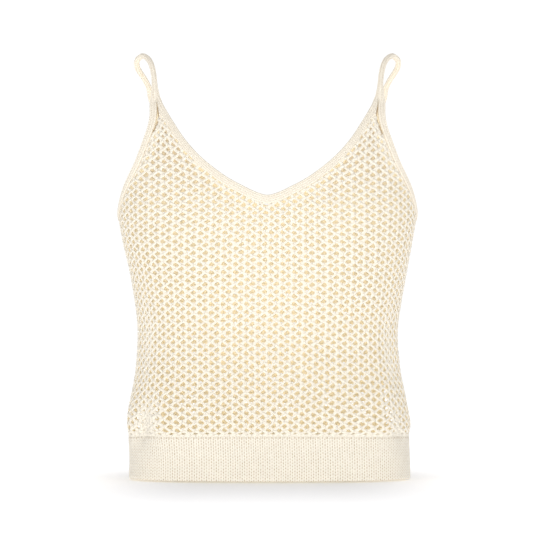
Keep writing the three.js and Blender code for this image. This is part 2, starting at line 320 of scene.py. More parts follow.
def across_neck_binding(t, face, share, width, gap=SEAM_GAP):
    """Spots across the neck binding: share 0 is its seam with the openwork, 1 its free edge."""
    wide = width + (NECK_BINDING_TOP_WIDTH - width) * np.abs(t) ** NECK_BINDING_TAPER
    _, edge_z = neck_edge(t, face)
    flare = np.clip((edge_z - TIP_Z[face]) / TIP_FLARE_HEIGHT, 0, 1)
    wide = wide + TIP_FLARE * flare * flare * (3 - 2 * flare)
    turn, z = inset(lambda s: neck_edge(s, face), t, wide * (1 - share), -face)
    return keep_beside_slit(turn, z, face, -1, gap), z


def across_armhole_binding(t, share, gap=SEAM_GAP):
    """Spots across the right armhole binding, counted in the same way."""
    turn, z = inset(armhole_edge, t, ARMHOLE_BINDING_WIDTH * (1 - share), -1)
    at_front = keep_beside_slit(turn, z, FRONT, 1, gap)
    at_back = keep_beside_slit(turn, z, BACK, 1, gap)
    return np.where(t > 0, at_back, at_front), z


def band_top(turn):
    """The height of the seam between the hem band and the openwork."""
    return BAND_TOP_Z + BAND_RISE * np.abs(np.cos(turn))


# ---- The knitting chart: where columns and rows of the openwork lie on the body ----

HALF_COLUMNS = 15.4  # columns from the centre front to a side seam
# Where a face's first column of holes lies past the centre, and how far a pair's second column of
# holes lies past its first, in columns.
COLUMN_PHASE = {FRONT: 0.277, BACK: 0.35}
SECOND_HOLE = {FRONT: 0.43, BACK: 0.26}
ROWS = 42
FIRST_ROW_Z = 1.9 * MM  # above the band's seam
SQUASHED_ROW = 4.8 * MM  # height of the row that is linked to the band
# Heights of the rows above it. Columns: row, height.
ROW_HEIGHTS = np.array([
    (1, 8.6), (3, 8.85), (5, 8.95), (10, 8.95), (13, 8.5), (16, 8.4),
    (20, 8.05), (26, 8.0), (30, 8.2), (34, 8.8), (42, 9.2),
])
# Width of a column at the centre front. Columns: height, width.
COLUMN_WIDTHS = np.array([(-0.397, 11.65), (-0.33, 11.9), (-0.24, 12.2), (-0.16, 12.3)])
STRETCH_RETURN = 0.6  # how far the columns' widths come back to that by the side seams
STRAIGHT_Z = -0.145  # above this height columns are counted across the front, not round it
GATHER_Z = -0.129  # above this height the columns gather towards the peaks
GATHER_HEIGHT = 94.5 * MM  # height over which they would meet
GATHER_BEND = 1.5
PEAK_LINE_X = 112 * MM
# How far the knitting has drifted from that even chart, as powers of the height on it, which is
# counted from DRIFT_ROW in units of DRIFT_ROW rows. Columns move sideways, and those away from the
# middle spread; rows move up, slope and bow.
DRIFT_ROW = 20
DRIFT_END = 27
COLUMN_DRIFT = (-0.021, 0.249, 0.426, 0.511)
COLUMN_SPREAD = (-0.007, -0.106, -0.163)
ROW_DRIFT = (0.311, 0.426, -0.311, -0.74)
ROW_SLOPE = (-0.012, 0.013)
ROW_BOW = -0.008
BOW_REACH = 6  # columns over which rows slope and bow
LEVEL_ROWS = 3  # rows over which the drift starts above the band
# The place ahead from which the back's knots lie behind the front's holes
EYE_Z = -0.2183
EYE_DISTANCE = 6.0
BAND_RISE_FADE = 20  # rows over which the rise of the band's seam fades out of the net
EVEN_EDGE = 6  # how close to the side seams the back's net leaves off following the front's

# Stops of the tables that say how far round a face each share of the way to its side is.
LEVELS = np.linspace(HEIGHT[0] - 10 * MM, HEIGHT[-1], 110)
SHARES = np.linspace(0, 1, 181)
TURN_STOPS = 400
ROW_STOPS = 40  # of the table of heights, for each row


def share_tables(face):
    """For each level, the turns at even shares of the way from a face's middle to its side."""
    turns = np.linspace(0 if face == FRONT else math.pi, math.pi / 2, TURN_STOPS)
    points = skin(turns[None, :], LEVELS[:, None])
    steps = np.linalg.norm(np.diff(points, axis=1), axis=2)
    arcs = np.concatenate([np.zeros((len(LEVELS), 1)), np.cumsum(steps, axis=1)], axis=1)
    rows = [np.interp(SHARES * arc[-1], arc, turns) for arc in arcs]
    return np.array(rows), arcs[:, -1]


SHARE_TABLES = {face: share_tables(face) for face in (FRONT, BACK)}
ROW_LINE = np.linspace(0, ROWS, ROW_STOPS * ROWS + 1)


def row_heights():
    """Heights above the band's seam of the stops in ROW_LINE."""
    height = np.interp(ROW_LINE, *ROW_HEIGHTS.T) * MM
    height = np.where(ROW_LINE < 1, SQUASHED_ROW, height)
    steps = (height[1:] + height[:-1]) / 2 * np.diff(ROW_LINE)
    return FIRST_ROW_Z + np.concatenate([[0], np.cumsum(steps)])


ROW_RISE = row_heights()


def turn_at_share(share, z, face):
    """The turn at a signed share of the way from a face's middle to its side."""
    turns, _ = SHARE_TABLES[face]
    level = np.clip((z - LEVELS[0]) / (LEVELS[1] - LEVELS[0]), 0, len(LEVELS) - 1.001)
    place = np.clip(np.abs(share), 0, 1) * (len(SHARES) - 1.001)
    i, j = level.astype(int), place.astype(int)
    u, v = level - i, place - j
    lower = turns[i, j] * (1 - v) + turns[i, j + 1] * v
    upper = turns[i + 1, j] * (1 - v) + turns[i + 1, j + 1] * v
    return np.where(share < 0, -1, 1) * (lower * (1 - u) + upper * u)


def turn_round(column, z, face):
    """The turn of a column below the armholes, where columns are counted round the body."""
    z = z + 0 * column
    half_arc = np.interp(z, LEVELS, SHARE_TABLES[face][1])
    width = np.interp(z, *COLUMN_WIDTHS.T) * MM
    aside = column / HALF_COLUMNS
    stretch = aside**3 * (1 - STRETCH_RETURN * aside**2) / (1 - STRETCH_RETURN)
    place = width * column + (half_arc - width * HALF_COLUMNS) * stretch
    return turn_at_share(place / half_arc, z, face)


def drift(column, row):
    """Where a place on the even chart has moved to."""
    up = np.clip(row, 0, DRIFT_END) / DRIFT_ROW - 1
    moved, spread, raised, slope = (
        np.polynomial.polynomial.polyval(up, powers)
        for powers in (COLUMN_DRIFT, COLUMN_SPREAD, ROW_DRIFT, ROW_SLOPE)
    )
    fade = np.clip(1 - (column / HALF_COLUMNS) ** 2, 0, 1)
    aside = BOW_REACH * np.tanh(column / BOW_REACH)
    raised = raised + slope * aside + ROW_BOW * aside * aside
    return column + fade * (moved + spread * column), row + raised * np.clip(row / LEVEL_ROWS, 0, 1)


def front_spot(column, row):
    """The turn and height of a place on the chart of the front."""
    column, row = drift(column, row)
    rise = np.interp(row, ROW_LINE, ROW_RISE)
    z = BAND_TOP_Z + rise
    turn = turn_round(column, np.minimum(z, STRAIGHT_Z), FRONT)
    z = z + BAND_RISE * np.abs(np.cos(turn)) * np.clip(1 - row / BAND_RISE_FADE, 0, 1)
    x = skin(turn, np.minimum(z, STRAIGHT_Z))[..., 0]
    gather = 1 - np.clip((z - GATHER_Z) / GATHER_HEIGHT, 0, 1) ** GATHER_BEND
    peak = np.sign(x) * PEAK_LINE_X
    above = turn_at_x(peak + (x - peak) * gather, z, FRONT)
    return np.where(z > STRAIGHT_Z, above, turn), z


def back_spot(column, row):
    """The same on the back, whose knots lie behind the front's holes when seen level from ahead."""
    turn, z = front_spot(column, row + 0.5)
    here = skin(turn, z)
    middle = 1 - np.clip(np.abs(column) / HALF_COLUMNS, 0, 1) ** EVEN_EDGE
    behind_x, behind_z = here[..., 0], z
    for _ in range(3):  # by the third round it no longer moves
        turn = turn_at_x(behind_x, behind_z, BACK)
        y = skin(turn, behind_z)[..., 1]
        grow = ((EYE_DISTANCE + y) / (EYE_DISTANCE + here[..., 1]) - 1) * middle
        behind_x = here[..., 0] * (1 + grow)
        behind_z = z + (z - EYE_Z) * grow
    return turn_at_x(behind_x, behind_z, BACK), behind_z


SPOT = {FRONT: front_spot, BACK: back_spot}

# ---- Meshes ----


def tube(sides, segments):
    """A closed tube along Z from 0 to 1, of radius 1, as a mesh. U runs along it and V round it."""
    bm = bmesh.new()
    bmesh.ops.create_cone(
        bm, cap_ends=True, cap_tris=False, segments=sides, radius1=1, radius2=1, depth=1
    )
    bmesh.ops.translate(bm, verts=bm.verts, vec=(0, 0, 0.5))
    long_edges = [e for e in bm.edges if abs(e.verts[0].co.z - e.verts[1].co.z) > 0.5]
    bmesh.ops.subdivide_edges(bm, edges=long_edges, cuts=segments - 1, use_grid_fill=True)
    uv = bm.loops.layers.uv.new("yarn")
    for face in bm.faces:
        middle = face.calc_center_median()
        centre = math.atan2(middle.y, middle.x)
        for loop in face.loops:
            co = loop.vert.co
            aside = math.atan2(co.y, co.x) - centre
            aside = (aside + math.pi) % math.tau - math.pi
            loop[uv].uv = (co.z, (centre + aside) / math.tau)
    mesh = bpy.data.meshes.new("tube")
    bm.to_mesh(mesh)
    bm.free()
    return mesh


def tube_places(mesh, segments):
    """Which ring each vertex of a tube is on, and its angle round the tube."""
    x, y, z = np.array([vertex.co for vertex in mesh.vertices], float).T
    return np.round(z * segments).astype(int), np.arctan2(y, x)


def copies(mesh, count):
    """A mesh of many copies of another, one after the other."""
    holder = bpy.data.objects.new("copies", mesh)
    bpy.context.scene.collection.objects.link(holder)
    array = holder.modifiers.new("copies", "ARRAY")
    array.count = count
    array.use_relative_offset = False
    array.use_constant_offset = True
    array.constant_offset_displace = (3, 0, 0)  # clear of each other, so that none are merged
    graph = bpy.context.evaluated_depsgraph_get()
    made = bpy.data.meshes.new_from_object(holder.evaluated_get(graph))
    bpy.data.objects.remove(holder)
    return made


def finish_piece(name, node, slot, mesh, points, material, **masks):
    """Puts a mesh's vertices in place and makes it the piece that stands for a node of the frame.
    The masks, from 0 to 1 at each vertex, say where its material has the painted inside shade and
    the deep colour, which is painted shade as well."""
    mesh.name = name
    mesh.vertices.foreach_set("co", points.astype(np.float32).ravel())
    for label, mask in masks.items():
        layer = mesh.attributes.new(label, "FLOAT", "POINT")
        layer.data.foreach_set("value", mask.astype(np.float32).ravel())
    mesh.materials.clear()
    mesh.materials.append(material)
    mesh.shade_smooth()
    mesh.update()
    piece = bpy.data.objects.new(name, mesh)
    bpy.context.scene.collection.objects.link(piece)
    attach(piece, "root")
    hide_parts(node)
    return piece


def face_uv(mesh, u, v):
    """Gives a tube's UV map the values u and v of its vertices, with no wrap at the tube's seam."""
    corner_vertex = np.empty(len(mesh.loops), np.int32)
    mesh.loops.foreach_get("vertex_index", corner_vertex)
    mesh.uv_layers["yarn"].data.foreach_set(
        "uv", np.stack([u[corner_vertex], v[corner_vertex]], axis=-1).astype(np.float32).ravel()
    )


# ---- Openwork ----

STRAND_SIDES = 6
STRAND_SEGMENTS = 4
STRAND_STOPS = 9  # along a strand's course on the chart
STRAND_BOW = 0.045  # how far it bows up or down, in rows
STRAND_WAIST = 0.10  # how much narrower it is at its middle
BOW_JITTER, WIDTH_JITTER = 0.012, 0.05  # in rows, and as a share of the width
TUCK = 1.6 * MM  # how far strands run in under a binding
SEAM_TUCK = 0.2  # of a column
SIDE_COLUMN_WIDTH = 12 * MM  # about as wide as columns are by the side seams
SEAM_LAP = 2 * MM  # how far above the openwork's tip its seams are followed
TRIM_STOPS = 65  # along a strand, where it is tested for being inside
SHORTEST_STRAND = 0.1  # share of a strand that has to be inside for it to be kept
KNOT_JITTER = 0.028  # of a column or row
SPINE_BEHIND = 0.05 * MM
SPINE_SWAY = 0.05  # how far a rib's upright strand leans away from the holes, in columns
SPINE_WAIST = 0.14  # how much narrower it is beside them
SEAM_YARN = 4.4 * MM
EDGE_YARN = 3.4 * MM  # the strand that borders the net beside a slit
EDGE_STRANDS = 10  # that make up each strand along an edge
SLIT_TOP_Z = -43 * MM
# A dark strand that stands for the shade in a slit, and the border and a strand down from it to the
# underarm, lightly and more deeply painted with shade: lift, width and depth of painted shade.
SLIT_SHADE_STRAND = (-1.0 * MM, 2.6 * MM, 1.0)
SEAM_BORDER = (-0.2 * MM, 4.4 * MM, 0.1)
SEAM_SHADE_STRAND = (0.5 * MM, 1.2 * MM, 0.45)
# Inside the peaks little light falls: how deep the colour gets, from which height and over which.
PEAK_SHADE = 0.75
SHADE_Z = -150 * MM
SHADE_HEIGHT = 60 * MM
# How full the yarn is for its place on the chart. Columns: row, share of its width.
FULLNESS = np.array([
    (0, 1.06), (12, 1.05), (18, 1.0), (25, 1.04), (30, 1.10), (34, 1.24), (40, 1.38),
])
BACK_FULLNESS = 1.07
SIDE_FULLNESS = 0.30  # how much fuller it is at the side seams
SIDE_GROWTH = 4  # how late it gets so on the way there: 1 is evenly
FOLD_FULLNESS = 2.2  # how much fuller the net looks where a fold closes it
EDGE_SAMPLES = 260
NEAREST_BLOCK = 20000  # points that are measured at a time
YARN_SEED = {FRONT: 7, BACK: 11}


def seam_lines(face, sizes):
    """The openwork's right-hand seams with its bindings, as points: neck, then armhole."""
    t = np.linspace(0, 1, EDGE_SAMPLES)
    neck = skin(*across_neck_binding(t, face, 0, sizes.neck_binding_width))
    armhole = skin(*across_armhole_binding(-face * t[::-1], 0))[::-1]
    return neck, armhole[np.argsort(armhole[:, 2])]


def nearest(points, line):
    """The distance from each point to the nearest point of a line."""
    flat = points.reshape(-1, 3)
    blocks = np.array_split(flat, max(1, len(flat) // NEAREST_BLOCK))
    gaps = [np.linalg.norm(b[:, None] - line[None], axis=2).min(axis=1) for b in blocks]
    return np.concatenate(gaps).reshape(points.shape[:-1])


def room(turn, z, face, seams):
    """How far spots lie inside the place that the net fills, negative outside it."""
    neck, armhole = (line[line[:, 2] < TIP_Z[face] + SEAM_LAP] for line in seams)
    points = skin(turn, z)
    points[..., 0] = np.abs(points[..., 0])
    beside = np.abs(math.pi / 2 - turn_of(points))
    limit = np.interp(z, armhole[:, 2], np.abs(math.pi / 2 - turn_of(armhole)), left=-1)
    below_neck = z < np.interp(points[..., 0], neck[:, 0], neck[:, 2])
    from_neck = nearest(points, neck) * np.where(below_neck, 1, -1) + TUCK
    by_slit = z > SLIT[face][0, 1]
    from_armhole = nearest(points, armhole) * np.where(beside > limit, 1, -1)
    from_armhole = from_armhole + np.where(by_slit, -(SLIT_OPENING + EDGE_YARN) / 2, TUCK)
    return np.minimum(np.minimum(from_neck, from_armhole), TIP_Z[face] - z)


def chart_knots(face, rng):
    """Columns and rows of both sets of knots, each slightly out of place."""
    count = int(HALF_COLUMNS) + 3  # a few past the side seams, which are trimmed away
    column, row = np.meshgrid(np.arange(-count, count + 1), np.arange(-1, ROWS + 1), indexing="ij")
    column = column + COLUMN_PHASE[face]
    first = np.stack([column, row + 0.5], axis=-1)
    second = np.stack([column + SECOND_HOLE[face], row + 0.0], axis=-1)
    jitter = rng.normal(0, KNOT_JITTER, (2, *first.shape))
    return first + jitter[0], second + jitter[1]


def chart_strands(sizes, rng, face):
    """The strands of a net: their places on the chart, lifts and widths, as arrays with a row for
    each strand and a column for each stop along it."""
    first, second = chart_knots(face, rng)
    t = np.linspace(0, 1, STRAND_STOPS)
    over, arch = sizes.crossing_lift * np.cos(math.pi * t), np.sin(math.pi * t)
    legs = (
        # start, end, whether it starts over (1) or under (-1) the other
        (first[1:-1, :-1], second[1:-1, 1:], 1),
        (first[1:-1, :-1], second[:-2, 1:], -1),
        (second[1:-1, :-1], first[1:-1, :-1], 1),
        (second[1:-1, :-1], first[2:, :-1], -1),
    )
    parts = []
    for start, end, sign in legs:
        start, end = start.reshape(-1, 1, 2), end.reshape(-1, 1, 2)
        path = start + (end - start) * t[None, :, None]
        path[..., 1] += (rng.normal(0, BOW_JITTER, (len(path), 1)) - sign * STRAND_BOW) * arch
        waist = 1 - STRAND_WAIST * arch + rng.normal(0, WIDTH_JITTER, (len(path), 1))
        wide = sizes.yarn_width * waist
        parts.append((path, sign * over + 0 * wide, wide))
    start = first[1:-1, :-1].reshape(-1, 1, 2)
    row = np.floor(start[..., 1]) + t
    phase = COLUMN_PHASE[face]
    column = np.round(start[..., 0] - phase) + phase - (1 - SECOND_HOLE[face]) / 2
    spine = np.stack([column - SPINE_SWAY * np.cos(math.tau * row), row], axis=-1)
    waist = 1 - SPINE_WAIST * np.cos(2 * math.tau * row)
    parts.append((spine, -SPINE_BEHIND + 0 * row, sizes.spine_width * waist))
    row = np.repeat(np.arange(ROWS), 2)[:, None] + t
    side = np.tile([-1, 1], ROWS)[:, None] + 0 * row
    seam = np.stack([side * (HALF_COLUMNS - SEAM_TUCK / 2), row], axis=-1)
    parts.append((seam, 0 * row, SEAM_YARN + 0 * row))
    path, lift, wide = (np.concatenate([part[i] for part in parts]) for i in range(3))
    full = np.interp(path[..., 1], *FULLNESS.T)
    full = full * (1 + SIDE_FULLNESS * (path[..., 0] / HALF_COLUMNS) ** SIDE_GROWTH)
    return path, lift, wide * full


def trim(path, face, seams):
    """The shares of each strand at which it enters and leaves the openwork, and which to keep."""
    spot = SPOT[face]
    turn, z = spot(path[..., 0], path[..., 1])
    inside = room(turn, z, face, seams)
    from_seam = (HALF_COLUMNS + SEAM_TUCK - np.abs(path[..., 0])) * SIDE_COLUMN_WIDTH
    inside = np.minimum(np.minimum(inside, from_seam), z - band_top(turn))
    t = np.linspace(0, 1, path.shape[1])
    fine = np.linspace(0, 1, TRIM_STOPS)
    kept = np.array([np.interp(fine, t, row) > 0 for row in inside])
    start = fine[np.argmax(kept, axis=1)]
    end = fine[len(fine) - 1 - np.argmax(kept[:, ::-1], axis=1)]
    return start, end, kept.any(axis=1) & (end - start > SHORTEST_STRAND)


def resample(values, start, end, count):
    """Values along strands again, at even stops between each one's start and end."""
    old = np.linspace(0, 1, values.shape[1])
    stops = start[:, None] + (end - start)[:, None] * np.linspace(0, 1, count)
    i = np.clip((stops * (len(old) - 1)).astype(int), 0, len(old) - 2)
    share = stops * (len(old) - 1) - i
    rows = np.arange(len(values))[:, None]
    if values.ndim == 3:
        share = share[..., None]
    return values[rows, i] * (1 - share) + values[rows, i + 1] * share


def in_strands(start, end):
    """Even stops from start to end, as the stops of EDGE_STRANDS strands laid end to end."""
    stops = np.linspace(start, end, EDGE_STRANDS * STRAND_SEGMENTS + 1)
    first = np.arange(EDGE_STRANDS)[:, None] * STRAND_SEGMENTS
    return stops[first + np.arange(STRAND_SEGMENTS + 1)]


def edge_strands(face):
    """The strands along the right edge of a net, as turns, heights, lifts, widths and painted
    shade:
    its border and a dark strand for the slit's shade, then both of those down to the underarm."""
    slit = SLIT[face]
    foot = slit[0, 1]
    runs = []
    for top, aside in ((TIP_Z[face], (SLIT_OPENING + EDGE_YARN) / 2), (SLIT_TOP_Z, 0)):
        z = in_strands(foot, top)
        runs.append((turn_at_x(np.interp(z, slit[:, 1], slit[:, 0]) - aside, z, face), z))
    t = np.linspace(0, -face, EDGE_SAMPLES)
    _, seam_z = across_armhole_binding(t, 0)
    runs += [across_armhole_binding(in_strands(0, np.interp(foot, seam_z, t)), 0)] * 2
    turn, z = (np.concatenate([run[i] for run in runs]) for i in range(2))
    kinds = np.array([(0, EDGE_YARN, 0), SLIT_SHADE_STRAND, SEAM_BORDER, SEAM_SHADE_STRAND])
    lift, wide, deep = (np.repeat(kind, EDGE_STRANDS)[:, None] + 0 * z for kind in kinds.T)
    return turn, z, lift, wide, deep


def lay_strands(turn, z, lift, wide, deep, thick):
    """Copies of one short tube, each laid along a strand's course on the body: their mesh, its
    points, and its masks."""
    wide = wide * (1 + FOLD_FULLNESS * settle(turn, z)[2])
    centre, normal = cloth(turn, z, lift)
    along = unit(np.gradient(centre, axis=1))
    aside = unit(np.cross(normal, along))
    template = tube(STRAND_SIDES, STRAND_SEGMENTS)
    ring, angle = tube_places(template, STRAND_SEGMENTS)
    mesh = copies(template, len(turn))
    across = np.cos(angle)[None, :, None] * (wide[:, ring] / 2)[..., None]
    outward = np.sin(angle)[None, :, None] * thick / 2
    points = centre[:, ring] + across * aside[:, ring] + outward * normal[:, ring]
    # Painted shade: the side of each strand that faces into the garment takes the warm inside shade
    # colour, and in the peaks also the deep colour.
    inner = np.clip(-np.sin(angle), 0, 1)[None, :] + 0 * wide[:, ring]
    inner_shade = PEAK_SHADE * np.clip((z - SHADE_Z) / SHADE_HEIGHT, 0, 1)[:, ring] * inner
    return mesh, points, {"inner": inner, "deep": np.maximum(deep[:, ring], inner_shade)}


def make_openwork(face, sizes, material):
    """The net of one face as a left and a right piece."""
    rng = np.random.default_rng(YARN_SEED[face])
    seams = seam_lines(face, sizes)
    path, lift, wide = chart_strands(sizes, rng, face)
    start, end, keep = trim(path, face, seams)
    path, lift, wide, start, end = (a[keep] for a in (path, lift, wide, start, end))
    stops = STRAND_SEGMENTS + 1
    path, lift, wide = (resample(a, start, end, stops) for a in (path, lift, wide))
    turn, z = SPOT[face](path[..., 0], path[..., 1])
    full = 1 if face == FRONT else BACK_FULLNESS
    edge_turn, *edge = edge_strands(face)
    pieces = []
    for side, label in SIDE_NAME.items():
        mine = path[:, stops // 2, 0] * side > 0
        net = (turn[mine], z[mine], lift[mine], full * wide[mine], 0 * z[mine])
        courses = [np.vstack(pair) for pair in zip(net, (edge_turn * side, *edge))]
        mesh, points, masks = lay_strands(*courses, sizes.yarn_thickness)
        pieces.append(finish_piece(
            f"{FACE_NAME[face]}_openwork_{label}", f"{FACE_NAME[face]}_panel", "openwork_knit",
            mesh, points, material, **masks,
        ))
    return pieces


# ---- Hem bands, bindings and straps ----

HEM_WALES = 77  # of one band
RINGS_PER_WALE = 8
COURSES = 15
OUTER_ROWS = 46
INNER_ROWS = 6
HEM_MARGIN = 0.4 * MM  # how far above the bottom of the band's box its lower edge lies
TOP_LAP = 0.9  # share of the way up to the openwork's lowest row that the band reaches
EDGE_ROUND = 14  # how late the wall thins towards its edges
EDGE_WALL = 0.25  # its thickness there, as a share
STITCH_RELIEF = 0.5 * MM
STITCH_LEAN = 0.5  # how many courses a stitch's legs rise from its middle to its sides
LEG_RELIEF, YARN_RELIEF = 0.7, 0.4  # shares of the relief between the legs and along them
# The eyelets along the band's top are shallow dents with painted shade in them.
EYELET_DEPTH = 0.7 * MM
EYELETS_PER_COLUMN = 3
EYELET_UNEVEN = 0.25  # half the share by which every second one is shallower
EYELET_WANDER, EYELET_WANDERS = 2.3, 0.15  # how fast and how far their depth wanders
EYELET_SHARE, EYELET_SPREAD = 0.965, 0.016  # where they lie and reach, of the band's height
SCALLOP = 0.3 * MM  # of the hem's lower edge
SCALLOPS_PER_WALE = 2
NECK_WALES = 2
ARMHOLE_WALES = 1.5
BINDING_SIDES = 28
BINDING_STITCH = 3.0 * MM
LENGTH_STOPS = 400  # along a binding, where its length is measured
BINDING_BULGE, BINDING_ROUND = 0.8, 0.55  # powers that shape a binding's section
BINDING_SUNK = 0.4  # how deep the stitches lie in it, of their relief


def stitch_relief(wale, course):
    """Height of plain knitting over a stitch, from 0 in the gaps to 1 on the yarn's two legs."""
    aside = np.abs((wale % 1) - 0.5) * 2
    off_leg = np.abs(aside - 0.5) * 2
    yarn = np.sin(math.pi * ((course - STITCH_LEAN * aside) % 1))
    return (1 - LEG_RELIEF * off_leg**2) * (1 - YARN_RELIEF + YARN_RELIEF * yarn)


def make_hem_band(face, sizes, material):
    """A hem band as a closed wall with plain knitting on its outer side."""
    segments = HEM_WALES * RINGS_PER_WALE
    sides = OUTER_ROWS + INNER_ROWS
    mesh = tube(sides, segments)
    ring, angle = tube_places(mesh, segments)
    step = np.round(angle / math.tau * sides).astype(int) % sides
    outer = step <= OUTER_ROWS
    share = np.where(outer, step / OUTER_ROWS, 1 - (step - OUTER_ROWS) / INNER_ROWS)
    column = (ring / segments * 2 - 1) * HALF_COLUMNS
    wale, course = ring / RINGS_PER_WALE, share * COURSES
    top = band_top(turn_round(column, HEM_Z, face)) + FIRST_ROW_Z * TOP_LAP
    bottom = HEM_Z + HEM_MARGIN + SCALLOP * np.cos(math.tau * SCALLOPS_PER_WALE * wale)
    z = bottom + (top - bottom) * share
    turn = turn_round(column, z, face)
    full = np.sqrt(np.clip(1 - np.abs(2 * share - 1) ** EDGE_ROUND, 0, 1))
    half_wall = sizes.band_thickness / 2 * (EDGE_WALL + (1 - EDGE_WALL) * full)
    groove = np.exp(-(((share - EYELET_SHARE) / EYELET_SPREAD) ** 2))
    beat = np.cos(math.pi * EYELETS_PER_COLUMN * (column - COLUMN_PHASE[FRONT]))
    uneven = 1 - EYELET_UNEVEN * (1 - beat)
    wander = 1 - EYELET_WANDERS * (1 - np.sin(column * EYELET_WANDER))
    eyelets = groove * beat**2 * uneven * wander
    relief = STITCH_RELIEF * stitch_relief(wale, course) - EYELET_DEPTH * eyelets
    lift = np.where(outer, half_wall + relief * full, -half_wall)
    points, _ = cloth(turn, z, lift)
    face_uv(mesh, wale, course)
    # Painted shade: the band's wall that faces into the garment takes the inside shade colour, and
    # its eyelets the deep colour.
    return finish_piece(
        f"{FACE_NAME[face]}_hem_band_knit", f"{FACE_NAME[face]}_hem_band", "plain_knit",
        mesh, points, material, inner=np.where(outer, 0, 1), deep=np.where(outer, eyelets, 0),
    )


def signed_power(values, power):
    """The size of each value to a power, with the value's sign."""
    return np.sign(values) * np.abs(values) ** power


def mend_normals(piece):
    """Turns a mesh the right way out if its walls came out reversed."""
    bm = bmesh.new()
    bm.from_mesh(piece.data)
    if bm.calc_volume(signed=True) < 0:
        bmesh.ops.reverse_faces(bm, faces=bm.faces)
        bm.to_mesh(piece.data)
    bm.free()
    return piece


def polyline_length(points):
    """The length of a line through points."""
    return float(np.linalg.norm(np.diff(points, axis=0), axis=1).sum())


def make_binding(node, across, wales, sizes, material, side=RIGHT):
    """A padded strip of knitting along an edge of the garment."""
    length = polyline_length(skin(*across(np.linspace(-1, 1, LENGTH_STOPS), 0.5)))
    segments = 2 * int(length / BINDING_STITCH * 2)
    mesh = tube(BINDING_SIDES, segments)
    ring, angle = tube_places(mesh, segments)
    step = np.round(angle / math.tau * BINDING_SIDES) % BINDING_SIDES
    angle = step / BINDING_SIDES * math.tau
    share = 0.5 - 0.5 * signed_power(np.cos(angle), BINDING_BULGE)
    full = signed_power(np.sin(angle), BINDING_ROUND)
    turn, z = across(ring / segments * 2 - 1, share)
    wale, course = share * wales, ring / segments * length / BINDING_STITCH
    relief = STITCH_RELIEF * (stitch_relief(wale, course) - BINDING_SUNK)
    lift = sizes.binding_thickness / 2 * full + np.where(full > 0, relief, 0)
    points, _ = cloth(turn, z, lift)
    points[:, 0] *= side
    face_uv(mesh, wale, course)
    # Painted shade: the side of the binding that faces into the garment takes the inside shade
    # colour.
    return mend_normals(finish_piece(
        f"{node}_knit", node, "plain_knit", mesh, points, material,
        inner=np.where(full > 0, 0, 1),
    ))


def make_neck_binding(face, sizes, material):
    """The binding of one face's neckline."""
    def across(t, share):
        return across_neck_binding(t, face, share, sizes.neck_binding_width, SLIT_OPENING / 2)

    node = f"{FACE_NAME[face]}_neck_binding"
    return make_binding(node, across, NECK_WALES, sizes, material)


def make_armhole_binding(side, sizes, material):
    """The binding of one armhole, worked out on the right and mirrored for the left."""
    def across(t, share):
        return across_armhole_binding(t, share, SLIT_OPENING / 2)

    node = f"{SIDE_NAME[side]}_armhole_binding"
    return make_binding(node, across, ARMHOLE_WALES, sizes, material, side)


STRAP_SIDES = 18
STRAP_SEGMENTS = 168
STRAP_WALES = 3
STRAP_STITCH = 3.0 * MM
STRAP_RELIEF = 0.34 * MM
# How a strap flattens and widens where it is worked into a peak.
# Columns: distance from its end, half its width and half its thickness as shares of its radius.
STRAP_ROOT = np.array([
    (0, 1.20, 0.25), (9, 1.60, 0.45), (14, 1.62, 0.72), (19, 1.45, 0.95), (25, 1.15, 1.0),
    (32, 1.0, 1.0),
])


def make_strap(side, sizes, material):
    """A round knitted cord over the shoulder, worked into the peaks at both ends."""
    mesh = tube(STRAP_SIDES, STRAP_SEGMENTS)
    ring, angle = tube_places(mesh, STRAP_SEGMENTS)
    stops = np.linspace(0, 1, STRAP_SEGMENTS + 1)
    centre = smooth_curve(STRAP_ROUTE)(stops)
    along = unit(np.gradient(centre, axis=0))
    out = unit(np.cross(along, np.broadcast_to((1.0, 0, 0), along.shape)))
    aside = np.cross(out, along)
    length = polyline_length(centre)
    from_end = np.minimum(stops, 1 - stops) * length
    wide, thick = (np.interp(from_end, STRAP_ROOT[:, 0] * MM, STRAP_ROOT[:, i]) for i in (1, 2))
    course = ring / STRAP_SEGMENTS * length / STRAP_STITCH
    relief = STRAP_RELIEF * (stitch_relief(angle / math.tau * STRAP_WALES, course) - 0.5)
    reach = sizes.strap_diameter / 2 + relief
    points = centre[ring] + (reach * np.cos(angle) * wide[ring])[:, None] * aside[ring]
    points = points + (reach * np.sin(angle) * thick[ring])[:, None] * out[ring]
    points[:, 0] *= side
    for loop in mesh.uv_layers["yarn"].data:
        loop.uv = (loop.uv[1] * STRAP_WALES, loop.uv[0] * length / STRAP_STITCH)
    node = f"{SIDE_NAME[side]}_strap"
    return mend_normals(finish_piece(f"{node}_cord", node, "strap_cord", mesh, points, material))


# ---- Materials ----


def new_node(tree, kind, inputs=(), **settings):
    """Adds a node, gives its settings and inputs, which are values or sockets, and returns it."""
    node = tree.nodes.new(kind)
    for name, value in settings.items():
        setattr(node, name, value)
    for key, value in dict(inputs).items():
        if isinstance(value, bpy.types.NodeSocket):
            tree.links.new(value, node.inputs[key])
        else:
            node.inputs[key].default_value = value
    return node


def work_out(tree, operation, *values):
    """The result of a Math node."""
    return new_node(tree, "ShaderNodeMath", enumerate(values), operation=operation).outputs[0]


